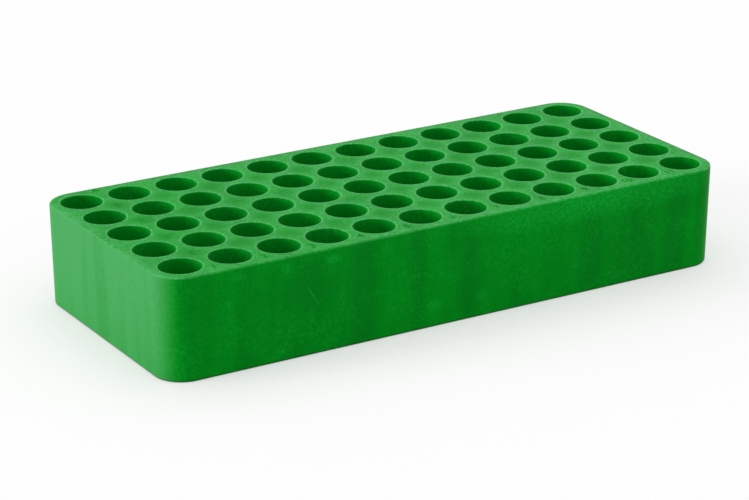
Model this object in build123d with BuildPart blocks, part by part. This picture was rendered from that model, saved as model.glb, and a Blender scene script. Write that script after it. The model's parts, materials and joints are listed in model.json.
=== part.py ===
"""Block rack for sixty round tubes: one moulded block with a grid of blind holes.

The origin is at the centre of the underside. X runs along the twelve columns, Y along the
five rows from front to back, and Z points up, out of the mouths of the holes.
"""

from build123d import *
import os

# Grid of holes
columns = 12
rows = 5

# Tubes and the holes that take them
tube_diameter = 13.0
tube_clearance = 0.2

# Thickness of plastic between two holes, outside the outer holes and under the holes
web = 3.4
side_wall = 3.4
floor_thickness = 3.4

# Outer form
block_height = 33.2
draft_angle = 1.0
top_edge_radius = 0.6
foot_edge_radius = 0.8

# Sizes that follow from those above
hole_diameter = tube_diameter + tube_clearance
hole_radius = hole_diameter / 2
hole_depth = block_height - floor_thickness
pitch = hole_diameter + web

# The rounded corners run round the corner holes at the same wall as the straight sides
corner_radius = hole_radius + side_wall
top_length = (columns - 1) * pitch + 2 * corner_radius
top_width = (rows - 1) * pitch + 2 * corner_radius

with BuildPart() as rack_block:
    # Block drawn down from the outline of its top, with sides that draw in towards the foot
    with BuildSketch(Plane.XY.offset(block_height)):
        RectangleRounded(top_length, top_width, corner_radius)
    extrude(amount=-block_height, taper=draft_angle)

    # Outer edges of the top and the foot, rounded before the holes open the top face
    top_face = rack_block.faces().sort_by(Axis.Z)[-1]
    fillet(top_face.outer_wire().edges(), radius=top_edge_radius)
    foot_face = rack_block.faces().sort_by(Axis.Z)[0]
    fillet(foot_face.outer_wire().edges(), radius=foot_edge_radius)

    # Blind holes for the tubes, straight and flat-bottomed
    with BuildSketch(Plane.XY.offset(block_height)):
        with GridLocations(pitch, pitch, columns, rows):
            Circle(hole_radius)
    extrude(amount=-hole_depth, mode=Mode.SUBTRACT)

rack_block.part.label = "rack_block"
os.makedirs("parts", exist_ok=True)
export_step(rack_block.part, "parts/rack_block.step")

print(f"rack_block {top_length:.1f} x {top_width:.1f} x {block_height:.1f} mm")
print(f"holes {columns} x {rows}, {hole_diameter:.1f} mm wide, {hole_depth:.1f} mm deep")
print(f"pitch {pitch:.1f} mm, volume {rack_block.part.volume / 1000:.1f} cm3")
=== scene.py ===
"""Looks of a block rack for sixty round tubes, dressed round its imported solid.

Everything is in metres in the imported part's own frame: X runs along the long rows of holes, Y
from the front row to the back row, and Z up, out of the mouths of the holes. Sizes that a maker
would quote are written in millimetres, and MM turns them to metres.
"""

import json
import logging
import math
from dataclasses import dataclass
from enum import Enum

import bmesh
import bpy
from bmesh.types import BMesh, BMVert
from bpy.types import Material, Node, NodeSocket, NodeTree, Object
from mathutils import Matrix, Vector
from mathutils.geometry import delaunay_2d_cdt


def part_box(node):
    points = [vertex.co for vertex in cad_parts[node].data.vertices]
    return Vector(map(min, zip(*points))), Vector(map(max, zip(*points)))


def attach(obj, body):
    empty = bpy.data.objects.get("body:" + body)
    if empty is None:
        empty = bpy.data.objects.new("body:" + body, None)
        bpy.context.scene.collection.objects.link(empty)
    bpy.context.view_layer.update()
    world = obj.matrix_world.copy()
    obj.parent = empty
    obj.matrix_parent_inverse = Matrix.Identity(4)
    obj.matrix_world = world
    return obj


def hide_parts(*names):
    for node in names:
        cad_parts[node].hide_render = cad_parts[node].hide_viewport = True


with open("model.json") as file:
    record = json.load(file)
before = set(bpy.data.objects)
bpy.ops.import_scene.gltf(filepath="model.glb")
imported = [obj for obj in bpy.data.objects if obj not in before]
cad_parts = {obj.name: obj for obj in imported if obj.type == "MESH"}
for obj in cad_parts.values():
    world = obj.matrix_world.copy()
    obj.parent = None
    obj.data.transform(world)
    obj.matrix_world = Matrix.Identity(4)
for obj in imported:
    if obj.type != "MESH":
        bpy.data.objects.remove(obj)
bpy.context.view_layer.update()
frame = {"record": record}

MM = 0.001
CAD_NODE = "rack_block"

# What each vertex tells the material, from 0 to 1
WEAR_AND_HIGHLIGHT = "wear_and_highlight"
BLOOM_AND_SHEEN = "bloom_and_sheen"
SINK_AND_SHADE = "sink_and_shade"
PAINTED_SHADE = "painted_shade"

# Nearly all of a noise lies between these values
NOISE_LOW = 0.35
NOISE_HIGH = 0.65

# Settings of the nodes that join two shares
MULTIPLY = {"operation": "MULTIPLY", "use_clamp": True}
ADD = {"operation": "ADD", "use_clamp": True}
STRONGER = {"operation": "MAXIMUM"}

# Inputs and outputs of the mix node, whose names repeat
MIX_SHARE, MIX_NUMBER_A, MIX_NUMBER_B, MIX_COLOUR_A, MIX_COLOUR_B = 0, 2, 3, 6, 7
MIXED_NUMBER, MIXED_COLOUR = 0, 2

# Places are rounded to this many steps in a millimetre where vertices are shared
STEPS_PER_MM = 10000
# The centre of a hole nearer to a line than this, in millimetres, stands on it
ON_THE_LINE = 0.01
TINY = 1e-9

log = logging.getLogger("rack")


def linear(hex_colour: str) -> tuple[float, float, float, float]:
    """Turn an sRGB hex colour to the linear values that a shader socket takes.

    Args:
        hex_colour: The colour as "#RRGGBB".

    Returns:
        Red, green, blue and an alpha of one, linear.
    """
    channels = (int(hex_colour[i:i + 2], 16) / 255 for i in (1, 3, 5))
    red, green, blue = (
        c / 12.92 if c <= 0.04045 else ((c + 0.055) / 1.055) ** 2.4 for c in channels
    )
    return red, green, blue, 1.0


def smooth_step(value: float) -> float:
    """Ease a value from 0 to 1 without a kink at either end."""
    t = min(max(value, 0.0), 1.0)
    return t * t * (3 - 2 * t)


def over_noise(low: float, high: float) -> dict[str, float]:
    """Give the map range settings that spread the middle of a noise over a range.

    Args:
        low: The value at the noise's low end.
        high: The value at its high end.

    Returns:
        The settings by the names of the input sockets.
    """
    return {"From Min": NOISE_LOW, "From Max": NOISE_HIGH, "To Min": low, "To Max": high}


def add_node(
    tree: NodeTree,
    kind: str,
    settings: dict[str | int, object],
    links: dict[str | int, NodeSocket],
) -> Node:
    """Add one node with its settings and the links that come into it.

    Args:
        tree: The node tree that gets the node.
        kind: The node's type name in Blender.
        settings: Values by property name, or by the name or number of an input socket.
        links: Output sockets by the name or number of the input socket that they feed.

    Returns:
        The new node.
    """
    node = tree.nodes.new(kind)
    for key, value in settings.items():
        if isinstance(key, int) or key in node.inputs:
            node.inputs[key].default_value = value
        else:
            setattr(node, key, value)
    for key, source in links.items():
        tree.links.new(source, node.inputs[key])
    return node


def closed_object(name: str, built: BMesh) -> Object:
    """Turn finished mesh data to an object, once it is sure that the skin has no gap.

    Args:
        name: The object's name.
        built: The mesh data, which is freed.

    Returns:
        The object, linked to the scene, with its faces turned outwards.
    """
    open_edges = sum(1 for edge in built.edges if not edge.is_manifold)
    if open_edges:
        raise ValueError(f"{name} has {open_edges} open edges")
    bmesh.ops.recalc_face_normals(built, faces=built.faces)
    mesh = bpy.data.meshes.new(name)
    built.to_mesh(mesh)
    built.free()
    piece = bpy.data.objects.new(name, mesh)
    bpy.context.scene.collection.objects.link(piece)
    return piece


class Side(Enum):
    """A direction in plan, in which a hole has either a neighbour or the block's outer face."""

    RIGHT = (1, 0)
    BACK = (0, 1)
    LEFT = (-1, 0)
    FRONT = (0, -1)


class MarkKind(Enum):
    """What a row of index characters counts with."""

    NUMBERS = "numbers"
    LETTERS = "letters"


@dataclass(frozen=True)
class Scuff:
    """A worn patch or scratch on the front face: place and size in millimetres, and its slope."""

    x: float
    below_top: float
    width: float
    height: float
    strength: float
    slope_deg: float = 0.0


@dataclass(frozen=True)
class MouldedPolypropylene:
    """Green polypropylene, injection moulded in a fine-grained steel mould.

    The mould's grain leaves it nearly matt. On the ends and the top it has a pale bloom, partly
    where hands and other racks rub it and partly a painted sheen of the lamps. Soft upright streaks
    run down its sides, paler on the ends, where the painted sheen lies, and deeper on the front.
    Thick places sink a little as they cool, and the sinks and the insides of the holes are painted
    a deeper green as shade. The edges of the holes and the top edges are worn pale in specks and
    carry a painted highlight, the front is scuffed, and painted shade darkens the foot edge and the
    back and right top edges.
    """

    body: str = "#009F1D"
    # Deeper green: random mottle, and painted shade in the sinks and the holes
    deep_tone_and_shade: str = "#008C1E"
    # Pale bloom: rubbed plastic with a painted sheen of the lamps
    bloom_and_sheen_tone: str = "#4AA85E"
    # Pale edges: wear with a painted highlight
    worn_and_highlight: str = "#63C47C"
    scuffed: str = "#12BC38"
    # Painted shade on the foot edge and on the back and right top edges
    painted_shade_colour: str = "#02481A"
    ior: float = 1.49
    specular_level: float = 0.02
    sheen_weight: float = 0.12
    sheen_roughness: float = 0.3
    roughness: float = 0.5
    roughness_spread: float = 0.08
    # Sizes of the patterns, in millimetres
    mottle_size: float = 14.0
    streak_width: float = 8.0
    streak_length: float = 90.0
    patch_size: float = 2.2
    speckle_size: float = 0.9
    ripple_size: float = 9.0
    ripple_depth: float = 0.05
    # The real grain is about 0.05 mm, too fine for the view, so it is drawn four times as coarse
    grain_size: float = 0.2
    grain_depth: float = 0.012
    # How much deeper the green is in the mottle and between the streaks. The last two values are
    # the streaks' own strength where the deeper green starts and where it is full.
    mottle_tone: float = 0.25
    between_streaks_tone: float = 0.65
    between_streaks: tuple[float, float] = (1.1, 0.8)
    # Ranges over which the streaks, the speckle and the patches change the bloom and its painted
    # sheen
    streaked_bloom_and_sheen: tuple[float, float] = (0.78, 1.15)
    speckled_bloom_and_sheen: tuple[float, float] = (0.8, 1.15)
    patchy_bloom_and_sheen: tuple[float, float] = (0.25, 1.6)
    # What is left of a scuff, or of a worn edge with its painted highlight, between its specks
    wear_between_specks: float = 0.3
    dust_share: float = 0.2
    dust_on_deep_mottle: float = 0.2
    # Pale specks on the top: how strong, how rare, and how much bloom and painted sheen it takes to
    # have them all
    speck_share: float = 0.45
    speck_rarity: float = 3.0
    rub_full_of_specks: float = 0.4
    # Where the scuffs lie: the front face, the top edge, and how far a scuff reaches into the face
    front_face_y: float = -43.0
    top_z: float = 33.2
    scuff_reach: float = 2.0
    scuffs: tuple[Scuff, ...] = (
        # The broad paler band under the top edge, and the smaller patches
        Scuff(50.0, 2.5, 118.0, 15.0, 1.15),
        Scuff(-45.2, 3.6, 7.0, 4.0, 1.0),
        Scuff(-60.8, 3.6, 5.0, 5.0, 0.6),
        Scuff(-77.5, 3.0, 7.0, 4.0, 0.55),
        Scuff(-26.5, 4.0, 5.0, 8.0, 0.5),
        Scuff(-80.5, 11.0, 2.5, 5.0, 0.4),
        Scuff(-42.0, 16.0, 2.4, 15.0, 0.35),
        Scuff(-8.8, 26.0, 7.0, 5.5, 0.8),
        Scuff(8.6, 26.0, 6.0, 5.0, 0.55),
        Scuff(9.2, 9.0, 2.4, 12.0, 0.35),
        Scuff(26.0, 1.8, 5.5, 3.5, 0.55),
        Scuff(43.8, 4.0, 7.0, 6.0, 0.55),
        Scuff(44.0, 23.2, 6.0, 1.6, 0.5),
        Scuff(58.5, 3.6, 4.5, 5.0, 0.6),
        Scuff(76.5, 2.8, 8.0, 4.0, 0.6),
        Scuff(61.0, 29.8, 5.0, 3.0, 0.6),
        Scuff(-62.5, 29.5, 5.0, 4.0, 0.5),
        Scuff(-84.0, 26.0, 5.0, 4.0, 0.35),
        Scuff(73.5, 16.0, 5.0, 4.0, 0.3),
        # The one real scratch, which runs down to the right
        Scuff(-52.5, 13.4, 10.5, 0.75, 1.2, 58.0),
    )

    def build(self) -> Material:
        """Make the material with its colour, sheen and relief.

        Returns:
            The finished material.
        """
        material = bpy.data.materials.new("injection_moulded_polypropylene")
        material.use_nodes = True
        tree = material.node_tree
        tree.nodes.clear()
        where = add_node(tree, "ShaderNodeTexCoord", {}, {})
        place = where.outputs["Object"]
        upwards = add_node(
            tree, "ShaderNodeSeparateXYZ", {}, {"Vector": where.outputs["Normal"]}
        ).outputs["Z"]
        speckle = add_node(
            tree,
            "ShaderNodeTexNoise",
            {"Scale": 1 / (self.speckle_size * MM), "Detail": 3.0, "Roughness": 0.6},
            {"Vector": place},
        ).outputs["Fac"]
        shader = add_node(
            tree,
            "ShaderNodeBsdfPrincipled",
            {
                "IOR": self.ior,
                "Specular IOR Level": self.specular_level,
                "Sheen Weight": self.sheen_weight,
                "Sheen Roughness": self.sheen_roughness,
            },
            {
                "Base Color": self._colour(tree, place, upwards, speckle),
                "Roughness": self._roughness(tree, speckle),
                "Normal": self._relief(tree, place),
            },
        )
        add_node(tree, "ShaderNodeOutputMaterial", {}, {"Surface": shader.outputs["BSDF"]})
        return material

    def _colour(
        self,
        tree: NodeTree,
        place: NodeSocket,
        upwards: NodeSocket,
        speckle: NodeSocket,
    ) -> NodeSocket:
        """Lay the painted shade of the sinks and holes with the mottle, then the scuffs, the bloom
        with its painted sheen, the worn edges with their painted highlight and the painted shade of
        the foot and far edges over the body colour, in that order.

        Args:
            tree: The material's nodes.
            place: The point on the surface.
            upwards: How far the surface faces up, 1 on the top.
            speckle: Fine noise that breaks up the scuffs, the bloom with its painted sheen and the
                worn edges with their painted highlight.

        Returns:
            The colour's socket.
        """
        mottle = add_node(
            tree,
            "ShaderNodeTexNoise",
            {"Scale": 1 / (self.mottle_size * MM), "Detail": 2.0},
            {"Vector": place},
        ).outputs["Fac"]
        sink_and_shade, rubbed_and_sheen, wear_and_highlight, painted_shade = (
            add_node(tree, "ShaderNodeAttribute", {"attribute_name": name}, {}).outputs["Fac"]
            for name in (SINK_AND_SHADE, BLOOM_AND_SHEEN, WEAR_AND_HIGHLIGHT, PAINTED_SHADE)
        )
        # The speckle breaks up each kind of wear, and the painted sheen, over a range of its own
        broken, speckled, dust, specks = (
            add_node(
                tree, "ShaderNodeMapRange", over_noise(low, high), {"Value": speckle}
            ).outputs["Result"]
            for low, high in (
                (self.wear_between_specks, 1.0),
                self.speckled_bloom_and_sheen,
                (-self.dust_share, 2 * self.dust_share),
                (-self.speck_rarity * self.speck_share, self.speck_share),
            )
        )
        # The slow mottle deepens the green in places, and thins the dust there
        clouds, dusty = (
            add_node(
                tree, "ShaderNodeMapRange", over_noise(low, high), {"Value": mottle}
            ).outputs["Result"]
            for low, high in ((0.0, self.mottle_tone), (1.0, self.dust_on_deep_mottle))
        )
        streaks = self._streaks(tree, place)
        start, full = self.between_streaks
        between = add_node(
            tree,
            "ShaderNodeMapRange",
            {"From Min": start, "From Max": full, "To Max": self.between_streaks_tone},
            {"Value": streaks},
        ).outputs["Result"]
        often = add_node(
            tree, "ShaderNodeMapRange", {"From Max": self.rub_full_of_specks}, {"Value": rubbed_and_sheen}
        ).outputs["Result"]
        patches = self._patches(tree, place, upwards)
        # The share of each layer: its first value, scaled by the others or with them added
        shares = []
        for share, *steps in (
            # Painted shade of the sinks and holes, deepened by the mottle and between the streaks
            (sink_and_shade, (ADD, clouds), (ADD, between)),
            (dust, (MULTIPLY, dusty)),
            (self._scuffs(tree, place), (MULTIPLY, broken)),
            # The bloom, rubbed plastic with a painted sheen
            (rubbed_and_sheen, (MULTIPLY, streaks), (MULTIPLY, speckled), (MULTIPLY, patches)),
            (upwards, (MULTIPLY, specks), (MULTIPLY, often)),
            # The worn edges with their painted highlight
            (wear_and_highlight, (MULTIPLY, broken)),
        ):
            for operation, other in steps:
                share = add_node(tree, "ShaderNodeMath", operation, {0: share, 1: other}).outputs[0]
            shares.append(share)
        deep_and_shade, dust, scuffs, bloom_and_sheen, specks, edges = shares
        scuffs = add_node(tree, "ShaderNodeMath", ADD, {0: scuffs, 1: dust}).outputs[0]
        edges = add_node(tree, "ShaderNodeMath", ADD, {0: edges, 1: specks}).outputs[0]
        colour = add_node(
            tree,
            "ShaderNodeMix",
            {
                "data_type": "RGBA",
                MIX_COLOUR_A: linear(self.body),
                MIX_COLOUR_B: linear(self.deep_tone_and_shade),
            },
            {MIX_SHARE: deep_and_shade},
        ).outputs[MIXED_COLOUR]
        # The last layer is painted shade on the foot edge and the back and right top edges
        for tone, share in (
            (self.scuffed, scuffs),
            (self.bloom_and_sheen_tone, bloom_and_sheen),
            (self.worn_and_highlight, edges),
            (self.painted_shade_colour, painted_shade),
        ):
            colour = add_node(
                tree,
                "ShaderNodeMix",
                {"data_type": "RGBA", MIX_COLOUR_B: linear(tone)},
                {MIX_SHARE: share, MIX_COLOUR_A: colour},
            ).outputs[MIXED_COLOUR]
        return colour

    def _streaks(self, tree: NodeTree, place: NodeSocket) -> NodeSocket:
        """Draw the soft streaks, which stand upright on the sides and are clouds on the top.

        Args:
            tree: The material's nodes.
            place: The point on the surface.

        Returns:
            The socket with the share of the bloom and painted sheen at full strength, least between
            the streaks.
        """
        wide, long = 1 / (self.streak_width * MM), 1 / (self.streak_length * MM)
        drawn_out = add_node(
            tree, "ShaderNodeMapping", {"Scale": (wide, wide, long)}, {"Vector": place}
        ).outputs[0]
        noise = add_node(
            tree, "ShaderNodeTexNoise", {"Scale": 1.0, "Detail": 2.0}, {"Vector": drawn_out}
        ).outputs["Fac"]
        return add_node(
            tree, "ShaderNodeMapRange", over_noise(*self.streaked_bloom_and_sheen), {"Value": noise}
        ).outputs["Result"]

    def _patches(self, tree: NodeTree, place: NodeSocket, upwards: NodeSocket) -> NodeSocket:
        """Break the bloom and painted sheen of the top up into small patches, and leave that of the
        ends alone.

        Args:
            tree: The material's nodes.
            place: The point on the surface.
            upwards: How far the surface faces up, 1 on the top.

        Returns:
            The socket with the share of the bloom and painted sheen at full strength.
        """
        noise = add_node(
            tree,
            "ShaderNodeTexNoise",
            {"Scale": 1 / (self.patch_size * MM), "Detail": 4.0, "Roughness": 0.65},
            {"Vector": place},
        ).outputs["Fac"]
        patchy = add_node(
            tree, "ShaderNodeMapRange", over_noise(*self.patchy_bloom_and_sheen), {"Value": noise}
        ).outputs["Result"]
        return add_node(
            tree,
            "ShaderNodeMix",
            {"data_type": "FLOAT", MIX_NUMBER_A: 1.0},
            {MIX_SHARE: upwards, MIX_NUMBER_B: patchy},
        ).outputs[MIXED_NUMBER]

    def _scuffs(self, tree: NodeTree, place: NodeSocket) -> NodeSocket:
        """Lay the scuffs and the scratch of the front face out, each strongest in its middle.

        Args:
            tree: The material's nodes.
            place: The point on the surface.

        Returns:
            The socket with the strongest scuff at the point, 0 where there is none.
        """
        total = None
        for scuff in self.scuffs:
            z = self.top_z - scuff.below_top
            local = add_node(
                tree,
                "ShaderNodeMapping",
                {
                    "vector_type": "TEXTURE",
                    "Location": (scuff.x * MM, self.front_face_y * MM, z * MM),
                    "Rotation": (0, math.radians(scuff.slope_deg), 0),
                    "Scale": (scuff.width / 2 * MM, self.scuff_reach * MM, scuff.height / 2 * MM),
                },
                {"Vector": place},
            ).outputs["Vector"]
            away = add_node(tree, "ShaderNodeVectorMath", {"operation": "LENGTH"}, {0: local})
            patch = add_node(
                tree,
                "ShaderNodeMapRange",
                {"From Min": 1.0, "From Max": 0.0, "To Min": 0.0, "To Max": scuff.strength},
                {"Value": away.outputs["Value"]},
            ).outputs["Result"]
            total = patch if total is None else add_node(
                tree, "ShaderNodeMath", STRONGER, {0: total, 1: patch}
            ).outputs[0]
        return total

    def _roughness(self, tree: NodeTree, speckle: NodeSocket) -> NodeSocket:
        """Let the satin vary a little from place to place.

        Args:
            tree: The material's nodes.
            speckle: Fine noise.

        Returns:
            The roughness socket.
        """
        least = self.roughness - self.roughness_spread
        most = self.roughness + self.roughness_spread
        return add_node(
            tree, "ShaderNodeMapRange", {"To Min": least, "To Max": most}, {"Value": speckle}
        ).outputs["Result"]

    def _relief(self, tree: NodeTree, place: NodeSocket) -> NodeSocket:
        """Give the surface its mould grain and the slow ripple of a thick moulding.

        Args:
            tree: The material's nodes.
            place: The point on the surface.

        Returns:
            The normal's socket.
        """
        ripple = add_node(
            tree,
            "ShaderNodeTexNoise",
            {"Scale": 1 / (self.ripple_size * MM), "Detail": 1.0},
            {"Vector": place},
        )
        slow = add_node(
            tree,
            "ShaderNodeBump",
            {"Strength": 1.0, "Distance": self.ripple_depth * MM},
            {"Height": ripple.outputs["Fac"]},
        )
        grain = add_node(
            tree,
            "ShaderNodeTexNoise",
            {"Scale": 1 / (self.grain_size * MM), "Detail": 2.0},
            {"Vector": place},
        )
        return add_node(
            tree,
            "ShaderNodeBump",
            {"Strength": 1.0, "Distance": self.grain_depth * MM},
            {"Height": grain.outputs["Fac"], "Normal": slow.outputs["Normal"]},
        ).outputs["Normal"]


@dataclass(frozen=True)
class SurfacePoint:
    """A vertex of the moulding, with what its finish and its painted light and shade read there."""

    place: Vector
    wear_and_highlight: float = 0.0
    bloom_and_sheen: float = 0.0
    sink_and_shade: float = 0.0
    painted_shade: float = 0.0


class Skin:
    """Vertices shared by place and the faces between them, so that patches join without a seam."""

    def __init__(self) -> None:
        """Start with nothing in the skin."""
        self.points: list[SurfacePoint] = []
        self.faces: list[tuple[int, ...]] = []
        self._known: dict[tuple[int, int, int], int] = {}

    def point(self, point: SurfacePoint) -> int:
        """Give the number of the vertex at a place, which is made if there is none yet.

        Args:
            point: The vertex wanted.

        Returns:
            Its number.
        """
        key = tuple(round(c / MM * STEPS_PER_MM) for c in point.place)
        if key not in self._known:
            self._known[key] = len(self.points)
            self.points.append(point)
        return self._known[key]

    def strip(self, first: list[int], second: list[int], closed: bool = True) -> None:
        """Join two rows of as many vertices by a strip of four-sided faces.

        Args:
            first: The vertices of one row.
            second: The vertices of the other row.
            closed: Whether the last vertices join the first ones.
        """
        count = len(first)
        for i in range(count if closed else count - 1):
            j = (i + 1) % count
            self.faces.append((first[i], first[j], second[j], second[i]))

    def to_object(self, name: str) -> Object:
        """Turn the skin into a mesh object with its attributes, faces turned outwards.

        Args:
            name: The object's name.

        Returns:
            The object, linked to the scene.
        """
        sheet = bpy.data.meshes.new(name)
        sheet.from_pydata([p.place for p in self.points], [], self.faces)
        for label, values in (
            (WEAR_AND_HIGHLIGHT, [p.wear_and_highlight for p in self.points]),
            (BLOOM_AND_SHEEN, [p.bloom_and_sheen for p in self.points]),
            (SINK_AND_SHADE, [p.sink_and_shade for p in self.points]),
            (PAINTED_SHADE, [p.painted_shade for p in self.points]),
        ):
            sheet.attributes.new(label, "FLOAT", "POINT").data.foreach_set("value", values)
        built = bmesh.new()
        built.from_mesh(sheet)
        bpy.data.meshes.remove(sheet)
        return closed_object(name, built)


@dataclass
class IndexCharacters:
    """Small characters pressed into the top, which name the columns and rows of holes."""

    cap_height: float = 2.9
    # The font's capitals are this share of its size
    cap_share: float = 0.73
    depth: float = 0.22
    numbers_in_front: float = 5.3
    letters_behind: float = 7.6
    # Off the middle between two columns, where the cut would run along an edge of the mesh
    off_middle: float = 0.07
    row_letters: str = "ABCDE"

    def build(self, kind: MarkKind, spots: list[Vector]) -> Object:
        """Make the solid characters that are cut out of the top.

        Args:
            kind: Whether the row counts in numbers or in letters.
            spots: Where each character's middle stands on the top face.

        Returns:
            One object with all the characters of the row, reaching as far above the top as below.
        """
        solids = bmesh.new()
        for i, spot in enumerate(spots):
            text = str(i + 1) if kind is MarkKind.NUMBERS else self.row_letters[i]
            self._add_character(solids, text, spot)
        return closed_object(f"index_{kind.value}", solids)

    def _outline(self, text: str) -> tuple[list[Vector], list[tuple[int, int]]]:
        """Draw the outline of a letter or number, centred on its own middle.

        Args:
            text: What it says.

        Returns:
            The outline's points in the plane, in metres, and its edges as pairs of their numbers.
        """
        curve = bpy.data.curves.new("index_character", "FONT")
        curve.body = text
        curve.resolution_u = 4
        curve.size = self.cap_height * MM / self.cap_share
        curve.fill_mode = "NONE"
        holder = bpy.data.objects.new("index_character", curve)
        bpy.context.scene.collection.objects.link(holder)
        graph = bpy.context.evaluated_depsgraph_get()
        wire = bpy.data.meshes.new_from_object(holder.evaluated_get(graph))
        bpy.data.objects.remove(holder)
        points = [vertex.co.xy for vertex in wire.vertices]
        low = Vector((min(p.x for p in points), min(p.y for p in points)))
        high = Vector((max(p.x for p in points), max(p.y for p in points)))
        middle = (low + high) / 2
        return [p - middle for p in points], [tuple(edge.vertices) for edge in wire.edges]

    @staticmethod
    def _inside(place: Vector, points: list[Vector], edges: list[tuple[int, int]]) -> bool:
        """Tell whether a place lies on the stroke of a character, by counting edges to its right.

        Args:
            place: The place in the plane.
            points: The outline's points.
            edges: The outline's edges.

        Returns:
            True on the stroke, and False outside it or in the counter of a letter.
        """
        crossed = 0
        for a, b in ((points[first], points[second]) for first, second in edges):
            if (a.y > place.y) != (b.y > place.y):
                crossed += place.x < a.x + (place.y - a.y) * (b.x - a.x) / (b.y - a.y)
        return crossed % 2 == 1

    def _add_character(self, solids: BMesh, text: str, spot: Vector) -> None:
        """Add one character as a closed prism, half of it below its spot.

        Args:
            solids: The mesh data that gets the prism.
            text: What it says.
            spot: Its middle on the top face.
        """
        points, edges = self._outline(text)
        finest = 1 / STEPS_PER_MM * MM
        places, _, triangles, *_ = delaunay_2d_cdt(points, edges, [], 0, finest)
        low = spot.z - self.depth * MM
        floor = [solids.verts.new((spot.x + p.x, spot.y + p.y, low)) for p in places]
        stroke = []
        for triangle in triangles:
            middle = sum((places[i] for i in triangle), Vector((0, 0))) / len(triangle)
            if self._inside(middle, points, edges):
                stroke.append(solids.faces.new([floor[i] for i in triangle]))
        raised = bmesh.ops.extrude_face_region(solids, geom=stroke, use_keep_orig=True)["geom"]
        for vertex in (item for item in raised if isinstance(item, BMVert)):
            vertex.co.z += 2 * self.depth * MM


@dataclass(frozen=True)
class ProfileLevel:
    """A level of the outer skin: how far out and how high it is, in millimetres, and its finish."""

    outwards: float
    z: float
    top_roll: float = 0.0
    foot_roll: float = 0.0
    top_share: float = 0.0


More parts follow.
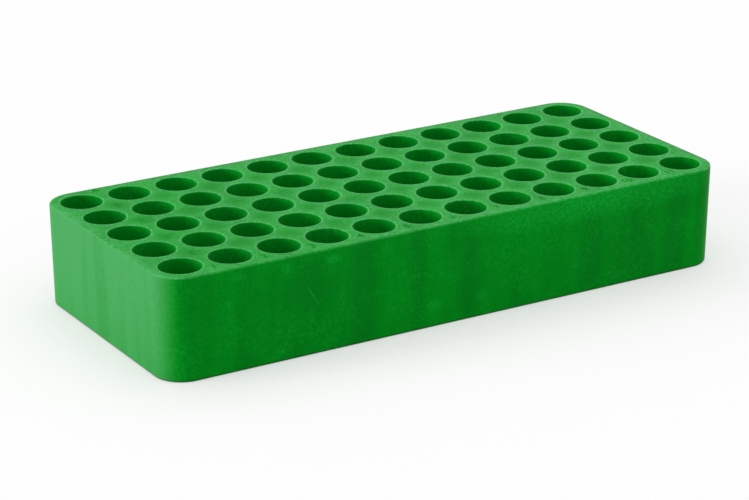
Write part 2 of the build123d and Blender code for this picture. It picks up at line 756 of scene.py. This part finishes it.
@dataclass
class RackBlock:
    """The moulded block: a plate of cells, one round each hole, inside a drafted outer skin.

    Lengths are in millimetres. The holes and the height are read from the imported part.
    """

    hole_centres: list[Vector]
    hole_radius: float
    hole_depth: float
    height: float
    side_wall: float = 3.4
    draft_deg: float = 1.0
    top_edge_radius: float = 0.6
    foot_edge_radius: float = 0.8
    rim_radius: float = 0.3
    # Pale rim: wear with a painted highlight, and the width of its ring
    rim_wear_and_highlight: float = 0.9
    rim_wear_and_highlight_width: float = 0.4
    bottom_radius: float = 0.6
    top_sink: float = 0.1
    side_sink: float = 0.1
    # The pale bloom is rubbed plastic with a painted sheen; its loss to the left and the foot is
    # painted light
    bloom_and_sheen_between_columns: float = 0.36
    bloom_and_sheen_between_rows: float = 0.52
    bloom_and_sheen_amid_four_holes: float = 0.03
    bloom_and_sheen_on_long_margin: float = 0.62
    bloom_and_sheen_on_end_margin: float = 0.72
    painted_sheen_lost_at_left: float = 0.3
    bloom_and_sheen_on_ends: float = 1.0
    painted_sheen_lost_at_foot: float = 0.3
    # How the bloom and its painted sheen fade round a corner, a painted falloff of the light: the
    # share of the normal at which it is gone, and how fast
    corner_fade: float = 0.5
    corner_fade_power: float = 1.7
    # Pale top edges and corners: wear with a painted highlight
    wear_and_highlight: float = 0.12
    corner_wear_and_highlight: float = 0.7
    # Painted shade on the foot edge and on the back and right top edges
    foot_painted_shade: float = 0.75
    far_edge_painted_shade: float = 0.45
    # The painted shade of the sides' sink marks and of the holes, a deeper green, and the distance
    # from an edge over which the sides start to sink
    side_sink_shade: float = 0.3
    hole_shade: float = 0.5
    side_sink_fade: float = 3.0
    # Rows of vertices: below the top face, and round a hole as shares of the way to the cell's edge
    side_levels: tuple[float, ...] = (1.1, 2.0, 4.0, 8.0, 13.0, 20.0, 26.0, 30.0, 31.4)
    hole_levels: tuple[float, ...] = (1.2, 3.0, 8.0)
    ring_shares: tuple[float, ...] = (1.0, 0.68, 0.36, 0.0)
    edge_steps: int = 5
    rim_steps: int = 4
    bottom_steps: int = 2
    directions: int = 64
    sharp_from_deg: float = 38.0

    def __post_init__(self) -> None:
        """Work out the grid and the outer profile, and start an empty skin."""
        self.columns = sorted({round(c.x, 3) for c in self.hole_centres})
        self.rows = sorted({round(c.y, 3) for c in self.hole_centres})
        self.pitch = self.columns[1] - self.columns[0]
        self.profile = self._outer_profile()
        self.skin = Skin()

    def build(self, characters: IndexCharacters) -> Object:
        """Build the block's mesh with its index characters pressed in.

        Args:
            characters: The maker of the characters.

        Returns:
            The finished piece.
        """
        for centre in self.hole_centres:
            self._add_cell(centre)
        piece = self.skin.to_object("rack_moulding")
        top = self.height * MM
        gaps = [x + self.pitch / 2 + characters.off_middle for x in self.columns[:-1]]
        front = self.rows[0] - characters.numbers_in_front
        numbers = [Vector((x * MM, front * MM, top)) for x in gaps]
        behind = [y + characters.letters_behind for y in reversed(self.rows)]
        letters = [Vector((gaps[0] * MM, y * MM, top)) for y in behind]
        for cutter in (
            characters.build(MarkKind.NUMBERS, numbers),
            characters.build(MarkKind.LETTERS, letters),
        ):
            self._cut(piece, cutter)
        self._split_large_faces(piece)
        piece.data.shade_smooth()
        piece.data.set_sharp_from_angle(angle=math.radians(self.sharp_from_deg))
        return piece

    def dress(self, piece: Object, plastic: Material) -> None:
        """Give the block its plastic and hand it over to the frame.

        Args:
            piece: The block's mesh object.
            plastic: The material it is moulded from.
        """
        piece.data.materials.clear()
        piece.data.materials.append(plastic)
        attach(piece, "root")
        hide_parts(CAD_NODE)

    def _cut(self, piece: Object, cutter: Object) -> None:
        """Take the cutter's volume out of the piece, and remove the cutter.

        Args:
            piece: The block.
            cutter: Closed solids that pierce its surface.
        """
        modifier = piece.modifiers.new("press", "BOOLEAN")
        modifier.operation = "DIFFERENCE"
        modifier.solver = "EXACT"
        modifier.object = cutter
        graph = bpy.context.evaluated_depsgraph_get()
        pressed = bpy.data.meshes.new_from_object(piece.evaluated_get(graph))
        piece.modifiers.clear()
        piece.data = pressed
        bpy.data.objects.remove(cutter)

    def _split_large_faces(self, piece: Object) -> None:
        """Split the faces of more than four sides evenly, so that the mesh has no fold.

        Args:
            piece: The block, after its characters are cut.
        """
        built = bmesh.new()
        built.from_mesh(piece.data)
        large = [face for face in built.faces if len(face.verts) > 4]
        bmesh.ops.triangulate(built, faces=large, ngon_method="BEAUTY")
        built.to_mesh(piece.data)
        built.free()

    def _outer_profile(self) -> list[ProfileLevel]:
        """Work out the section of the outer skin, from the top face round to the underside.

        Returns:
            The levels, with distances outwards from the outer hole centres.
        """
        lean = math.radians(self.draft_deg)
        outer = self.hole_radius + self.side_wall

        def side(z: float) -> float:
            """Distance outwards of the straight side at a height."""
            return outer - (self.height - z) * math.tan(lean)

        levels = []
        top_z = self.height - self.top_edge_radius
        top_u = side(top_z) - self.top_edge_radius / math.cos(lean)
        steps = self.edge_steps
        for i in range(steps + 1):
            angle = math.radians(90) + (-lean - math.radians(90)) * i / steps
            levels.append(ProfileLevel(
                top_u + self.top_edge_radius * math.cos(angle),
                top_z + self.top_edge_radius * math.sin(angle),
                top_roll=math.sin(math.pi * i / steps),
                top_share=1 - i / steps,
            ))
        for below in self.side_levels:
            levels.append(ProfileLevel(side(self.height - below), self.height - below))
        foot_z = self.foot_edge_radius
        foot_u = side(foot_z) - self.foot_edge_radius / math.cos(lean)
        for i in range(steps + 1):
            angle = -lean + (math.radians(-90) + lean) * i / steps
            levels.append(ProfileLevel(
                foot_u + self.foot_edge_radius * math.cos(angle),
                foot_z + self.foot_edge_radius * math.sin(angle),
                foot_roll=math.sin(math.pi * i / steps),
            ))
        return levels

    def _outer_sides(self, centre: Vector) -> set[Side]:
        """Name the directions in which a hole has the outer face and no neighbour.

        Args:
            centre: The hole's centre.

        Returns:
            The sides on which the hole is the last one.
        """
        distances = {
            Side.RIGHT: centre.x - self.columns[-1],
            Side.LEFT: centre.x - self.columns[0],
            Side.BACK: centre.y - self.rows[-1],
            Side.FRONT: centre.y - self.rows[0],
        }
        return {side for side, distance in distances.items() if abs(distance) < ON_THE_LINE}

    def _cell_edge(
        self, centre: Vector, outer: set[Side], step: int
    ) -> tuple[Vector, Vector | None]:
        """Find where one of a cell's directions meets its edge.

        Args:
            centre: The hole's centre.
            outer: The cell's outer sides.
            step: The direction's number.

        Returns:
            The base point and the outward normal where the edge is an outer one, or else the point
            on the edge that the cell shares with its neighbour, and None.
        """
        angle = 2 * math.pi * step / self.directions
        c, s = math.cos(angle), math.sin(angle)
        x_side = Side.RIGHT if c > 0 else Side.LEFT
        y_side = Side.BACK if s > 0 else Side.FRONT
        x_outer, y_outer = x_side in outer, y_side in outer
        if x_outer and y_outer:
            return centre.copy(), Vector((c, s, 0))
        longest = max(abs(c), abs(s))
        across, along = c / longest, s / longest
        half = self.pitch / 2
        if x_outer and abs(across) > 1 - TINY:
            return centre + Vector((0, along * half, 0)), Vector((x_side.value[0], 0, 0))
        if y_outer and abs(along) > 1 - TINY:
            return centre + Vector((across * half, 0, 0)), Vector((0, y_side.value[1], 0))
        flat = self.profile[0].outwards
        x_reach = flat if x_outer else half
        y_reach = flat if y_outer else half
        return centre + Vector((across * x_reach, along * y_reach, 0)), None

    def _top_bloom_and_sheen(self, place: Vector, sink_and_shade: float) -> float:
        """Tell how strong the bloom and its painted sheen are on the top: least amid four holes,
        most on the margin.

        Args:
            place: The place in plan, in millimetres.
            sink_and_shade: How far the top sinks there, from 0 to 1, which is also its share of
                painted shade.

        Returns:
            The bloom and painted sheen, from 0 to 1.
        """
        across = min(abs(place.x - x) for x in self.columns)
        along = min(abs(place.y - y) for y in self.rows)
        row_share = smooth_step(along**2 / max(across**2 + along**2, TINY))
        web = self.bloom_and_sheen_between_columns
        web += (self.bloom_and_sheen_between_rows - self.bloom_and_sheen_between_columns) * row_share
        bloom_and_sheen = web + (self.bloom_and_sheen_amid_four_holes - web) * sink_and_shade**0.5
        long_share = self._margin_share(abs(place.y) - self.rows[-1])
        bloom_and_sheen += (self.bloom_and_sheen_on_long_margin - bloom_and_sheen) * long_share
        # Painted sheen: the bloom fades towards the left, a painted gradient of the lamps'
        # reflection
        bloom_and_sheen *= 1 - self.painted_sheen_lost_at_left * smooth_step(-place.x / self.columns[-1])
        end_share = self._margin_share(abs(place.x) - self.columns[-1])
        return bloom_and_sheen + (self.bloom_and_sheen_on_end_margin - bloom_and_sheen) * end_share

    def _margin_share(self, beyond: float) -> float:
        """Tell how far a place lies in the margin, by its distance beyond the last hole centres."""
        return smooth_step((beyond - self.hole_radius + 2 * self.rim_radius) / self.side_wall)

    def _top_point(self, flat_place: Vector, wear_and_highlight: float) -> SurfacePoint:
        """Make a point of the top face, which sinks between each four holes.

        Args:
            flat_place: The place in plan, in millimetres.
            wear_and_highlight: How worn the plastic is there, with its painted highlight.

        Returns:
            The vertex.
        """
        radius = self.pitch / 2 * math.sqrt(2) - self.hole_radius - self.rim_radius
        i = round((flat_place.x - self.columns[0]) / self.pitch - 0.5)
        j = round((flat_place.y - self.rows[0]) / self.pitch - 0.5)
        inside = 0 <= i < len(self.columns) - 1 and 0 <= j < len(self.rows) - 1
        middle = Vector((
            self.columns[0] + (i + 0.5) * self.pitch, self.rows[0] + (j + 0.5) * self.pitch, 0
        ))
        away = (Vector((flat_place.x, flat_place.y, 0)) - middle).length / radius
        sink_and_shade = (1 - away**2) ** 2 if inside and away < 1 else 0.0
        place = Vector((flat_place.x, flat_place.y, self.height - self.top_sink * sink_and_shade))
        # The sink share also paints the hollow a deeper green, as shade
        return SurfacePoint(place * MM, wear_and_highlight, self._top_bloom_and_sheen(place, sink_and_shade), sink_and_shade)

    def _side_point(self, base: Vector, normal: Vector, level: ProfileLevel) -> SurfacePoint:
        """Make a point of the outer skin, whose sides sink where the plastic behind is thick.

        Args:
            base: The point on the rectangle through the outer hole centres, in millimetres.
            normal: The outward direction.
            level: The level of the profile.

        Returns:
            The vertex.
        """
        on_long_side = abs(normal.y) > abs(normal.x)
        along = base.x - self.columns[0] if on_long_side else base.y - self.rows[0]
        thick = 0.5 - 0.5 * math.cos(2 * math.pi * along / self.pitch)
        from_edge = min(level.z, self.height - level.z) - self.foot_edge_radius
        sink_and_shade = thick * smooth_step(from_edge / self.side_sink_fade)
        place = base + normal * (level.outwards - self.side_sink * sink_and_shade)
        place.z = level.z
        # The bloom and painted sheen of the ends fade towards the foot and round the corners, a
        # painted falloff of the light
        fade_length = 1 - self.corner_fade
        facing_end = max((abs(normal.x) - self.corner_fade) / fade_length, 0.0)
        on_side = self.bloom_and_sheen_on_ends * facing_end**self.corner_fade_power
        on_side *= 1 - self.painted_sheen_lost_at_foot * (1 - level.z / self.height)
        top_edge = base + normal * level.outwards
        bloom_and_sheen = on_side + (self._top_bloom_and_sheen(top_edge, 0.0) - on_side) * level.top_share
        # The corners get the most wear and painted highlight, the back and right top edges none,
        # and painted shade darkens the foot and the back and right top edges
        wear_and_highlight_share = self.wear_and_highlight + self.corner_wear_and_highlight * (2 * normal.x * normal.y) ** 2
        far_edge = smooth_step((normal.x + normal.y - self.corner_fade) / fade_length)
        wear_and_highlight_share = wear_and_highlight_share * level.top_roll * (1 - far_edge)
        # Painted shade on the far top edges and the foot edge
        on_far_edge = self.far_edge_painted_shade * far_edge * min(2 * level.top_share, 1.0)
        painted_shade = max(self.foot_painted_shade * level.foot_roll, on_far_edge)
        # The side's sink is painted a deeper green, as shade
        return SurfacePoint(place * MM, wear_and_highlight_share, bloom_and_sheen, self.side_sink_shade * sink_and_shade, painted_shade)

    def _add_cell(self, centre: Vector) -> None:
        """Add the top, the hole, the outer skin and the underside of one hole's cell.

        Args:
            centre: The hole's centre.
        """
        outer = self._outer_sides(centre)
        edges = [self._cell_edge(centre, outer, k) for k in range(self.directions)]
        angles = [2 * math.pi * k / self.directions for k in range(self.directions)]
        rays = [Vector((math.cos(a), math.sin(a), 0)) for a in angles]
        flat = self.profile[0].outwards
        rim = self.hole_radius + self.rim_radius
        rings = []
        for share in self.ring_shares:
            ring = []
            for (base, normal), ray in zip(edges, rays):
                near = centre + ray * (rim + self.rim_wear_and_highlight_width)
                far = base if normal is None else base + normal * flat
                if share == 1.0 and normal is not None:
                    point = self._side_point(base, normal, self.profile[0])
                else:
                    point = self._top_point(near.lerp(far, share), 0.0)
                ring.append(self.skin.point(point))
            rings.append(ring)
        # The rounded rim is painted pale, as wear and a painted highlight
        round_rim = [self._top_point(centre + ray * rim, self.rim_wear_and_highlight) for ray in rays]
        rings.append([self.skin.point(point) for point in round_rim])
        for radius, z, wear_and_highlight_share in self._hole_profile():
            places = [(centre + ray * radius + Vector((0, 0, z))) * MM for ray in rays]
            # The walls of the hole are painted a deeper green, as shade
            round_hole = [SurfacePoint(place, wear_and_highlight_share, 0.0, self.hole_shade) for place in places]
            rings.append([self.skin.point(point) for point in round_hole])
        for first, second in zip(rings, rings[1:]):
            self.skin.strip(first, second)
        middle = Vector((centre.x, centre.y, self.height - self.hole_depth))
        hub = self.skin.point(SurfacePoint(middle * MM))
        for k in range(self.directions):
            self.skin.faces.append((rings[-1][k], rings[-1][(k + 1) % self.directions], hub))
        self._add_outer_skin(edges)

    def _hole_profile(self) -> list[tuple[float, float, float]]:
        """Work out the section of a hole, from its rounded rim down to the middle of its floor.

        Returns:
            Radius, height and the share of wear and painted highlight at each level, after the
            rim's outer edge.
        """
        levels = []
        for i in range(1, self.rim_steps + 1):
            angle = math.radians(90) * i / self.rim_steps
            levels.append((
                self.hole_radius + self.rim_radius * (1 - math.sin(angle)),
                self.height - self.rim_radius * (1 - math.cos(angle)),
                self.rim_wear_and_highlight * math.cos(angle) ** 2,
            ))
        for below in self.hole_levels:
            levels.append((self.hole_radius, self.height - below, 0.0))
        floor = self.height - self.hole_depth
        for i in range(self.bottom_steps + 1):
            angle = math.radians(90) * i / self.bottom_steps
            levels.append((
                self.hole_radius - self.bottom_radius * (1 - math.cos(angle)),
                floor + self.bottom_radius * (1 - math.sin(angle)),
                0.0,
            ))
        return levels

    def _add_outer_skin(self, edges: list[tuple[Vector, Vector | None]]) -> None:
        """Hang the outer skin on a cell's outer edges, and close the cell's underside.

        Args:
            edges: Where each direction meets the cell's edge.
        """
        last = self.profile[-1]
        under = []
        for base, normal in edges:
            if normal is None:
                under.append(self.skin.point(SurfacePoint(self._shrunk(base) * MM)))
            else:
                under.append(self.skin.point(self._side_point(base, normal, last)))
        self.skin.faces.append(tuple(under))
        for k, (base, normal) in enumerate(edges):
            next_base, next_normal = edges[(k + 1) % len(edges)]
            if normal is None or next_normal is None:
                continue
            columns = [
                [self.skin.point(self._side_point(b, n, level)) for level in self.profile]
                for b, n in ((base, normal), (next_base, next_normal))
            ]
            self.skin.strip(columns[0], columns[1], closed=False)

    def _shrunk(self, place: Vector) -> Vector:
        """Move a point on a shared cell edge to the underside, whose flat is smaller than the top.

        Args:
            place: The point on the top's cell edge, in millimetres.

        Returns:
            The point on the underside's cell edge.
        """
        flat_top, flat_foot = self.profile[0].outwards, self.profile[-1].outwards

        def pull(value: float, low: float, high: float) -> float:
            """Shrink the part of a coordinate that lies beyond the outer hole centres."""
            if value > high:
                return high + (value - high) * flat_foot / flat_top
            if value < low:
                return low - (low - value) * flat_foot / flat_top
            return value

        x = pull(place.x, self.columns[0], self.columns[-1])
        y = pull(place.y, self.rows[0], self.rows[-1])
        return Vector((x, y, 0))


@dataclass(frozen=True)
class Lamp:
    """A large soft lamp, far away: where it hangs, how strong it is and how wide it looks."""

    name: str
    direction: tuple[float, float, float]
    strength: float
    spread_deg: float


@dataclass
class Studio:
    """A white table in soft light, and the camera that looks at the block's near left corner."""

    azimuth_deg: float = 31.35
    elevation_deg: float = 20.29
    distance: float = 869.98
    aim: tuple[float, float, float] = (-4.57, 0.0, 11.0)
    lens: float = 130.55
    sensor: float = 36.0
    table_size: float = 8000.0
    table: str = "#FEFEFE"
    table_bounce: str = "#BCBCBC"
    table_glow: float = 0.45
    wall: str = "#FFFFFF"
    room_light: float = 0.62
    lamps: tuple[Lamp, ...] = (
        Lamp("overhead_lamp", (0.05, 0.1, 1.0), 0.95, 80.0),
        Lamp("left_lamp", (-0.96, 0.28, 0.1), 2.15, 30.0),
    )

    def build(self) -> None:
        """Lay the table, light the room and set the camera up."""
        scene = bpy.context.scene
        scene.view_settings.view_transform = "Standard"
        self._lay_table()
        self._light_room()
        for lamp in self.lamps:
            self._hang(lamp)
        self._set_camera()

    def _seen_directly(self, tree: NodeTree) -> NodeSocket:
        """Tell the rays that look at a surface from those that only carry light from it.

        Args:
            tree: The node tree of a material or the world.

        Returns:
            A socket that is 1 for camera, glossy and transmission rays.
        """
        rays = add_node(tree, "ShaderNodeLightPath", {}, {}).outputs
        seen = rays["Is Camera Ray"]
        for other in ("Is Glossy Ray", "Is Transmission Ray"):
            seen = add_node(tree, "ShaderNodeMath", STRONGER, {0: seen, 1: rays[other]}).outputs[0]
        return seen

    def _lay_table(self) -> None:
        """Lay the white table that the block stands on."""
        half = self.table_size / 2 * MM
        mesh = bpy.data.meshes.new("table")
        corners = [(-half, -half, 0), (half, -half, 0), (half, half, 0), (-half, half, 0)]
        mesh.from_pydata(corners, [], [(0, 1, 2, 3)])
        table = bpy.data.objects.new("table", mesh)
        bpy.context.scene.collection.objects.link(table)
        material = bpy.data.materials.new("white_table")
        material.use_nodes = True
        tree = material.node_tree
        tree.nodes.clear()
        matt = add_node(tree, "ShaderNodeBsdfDiffuse", {"Color": linear(self.table)}, {})
        glow = add_node(
            tree, "ShaderNodeEmission", {"Color": linear(self.table), "Strength": 1.0}, {}
        )
        seen = add_node(
            tree,
            "ShaderNodeMixShader",
            {0: self.table_glow},
            {1: matt.outputs[0], 2: glow.outputs[0]},
        )
        bounce = add_node(tree, "ShaderNodeBsdfDiffuse", {"Color": linear(self.table_bounce)}, {})
        both = add_node(
            tree,
            "ShaderNodeMixShader",
            {},
            {0: self._seen_directly(tree), 1: bounce.outputs[0], 2: seen.outputs[0]},
        )
        add_node(tree, "ShaderNodeOutputMaterial", {}, {"Surface": both.outputs[0]})
        mesh.materials.append(material)

    def _light_room(self) -> None:
        """Fill the room with even light, in front of a white wall."""
        world = bpy.data.worlds.new("white_room")
        bpy.context.scene.world = world
        world.use_nodes = True
        tree = world.node_tree
        tree.nodes.clear()
        white = linear(self.wall)
        light = add_node(
            tree, "ShaderNodeBackground", {"Color": white, "Strength": self.room_light}, {}
        )
        wall = add_node(tree, "ShaderNodeBackground", {"Color": white, "Strength": 1.0}, {})
        both = add_node(
            tree,
            "ShaderNodeMixShader",
            {},
            {0: self._seen_directly(tree), 1: light.outputs[0], 2: wall.outputs[0]},
        )
        add_node(tree, "ShaderNodeOutputWorld", {}, {"Surface": both.outputs[0]})

    def _hang(self, lamp: Lamp) -> None:
        """Hang one lamp.

        Args:
            lamp: The lamp.
        """
        light = bpy.data.lights.new(lamp.name, "SUN")
        light.energy = lamp.strength
        light.angle = math.radians(lamp.spread_deg)
        holder = bpy.data.objects.new(lamp.name, light)
        holder.rotation_euler = Vector(lamp.direction).to_track_quat("Z", "Y").to_euler()
        bpy.context.scene.collection.objects.link(holder)

    def _set_camera(self) -> None:
        """Set the camera up at the photograph's angle, with its long lens."""
        azimuth, elevation = math.radians(self.azimuth_deg), math.radians(self.elevation_deg)
        forward = Vector((
            math.sin(azimuth) * math.cos(elevation),
            math.cos(azimuth) * math.cos(elevation),
            -math.sin(elevation),
        ))
        lens = bpy.data.cameras.new("camera")
        lens.lens = self.lens
        lens.sensor_width = self.sensor
        lens.sensor_fit = "HORIZONTAL"
        lens.clip_start = 0.01
        lens.clip_end = 100.0
        camera = bpy.data.objects.new("camera", lens)
        camera.location = Vector(self.aim) * MM - forward * self.distance * MM
        camera.rotation_euler = forward.to_track_quat("-Z", "Y").to_euler()
        bpy.context.scene.collection.objects.link(camera)
        bpy.context.scene.camera = camera


def read_block() -> RackBlock:
    """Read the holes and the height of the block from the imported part.

    Returns:
        The block, ready to be built.
    """
    bores = [m for m in frame["record"]["mounts"] if m["kind"] == "bore"]
    low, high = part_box(CAD_NODE)
    return RackBlock(
        hole_centres=[Vector((m["pos_m"][0] / MM, m["pos_m"][1] / MM, 0)) for m in bores],
        hole_radius=bores[0]["dims"]["r_mm"],
        hole_depth=bores[0]["dims"]["length_mm"],
        height=(high.z - low.z) / MM,
    )


def main() -> None:
    """Build the block, dress it and set it in the studio."""
    logging.basicConfig(level=logging.INFO, format="%(name)s: %(message)s")
    plastic = MouldedPolypropylene().build()
    block = read_block()
    piece = block.build(IndexCharacters())
    block.dress(piece, plastic)
    mesh = piece.data
    log.info("%s: %d vertices, %d faces", piece.name, len(mesh.vertices), len(mesh.polygons))
    Studio().build()
    log.info("studio: table, room light, lamps and camera")


if __name__ == "__main__":
    main()
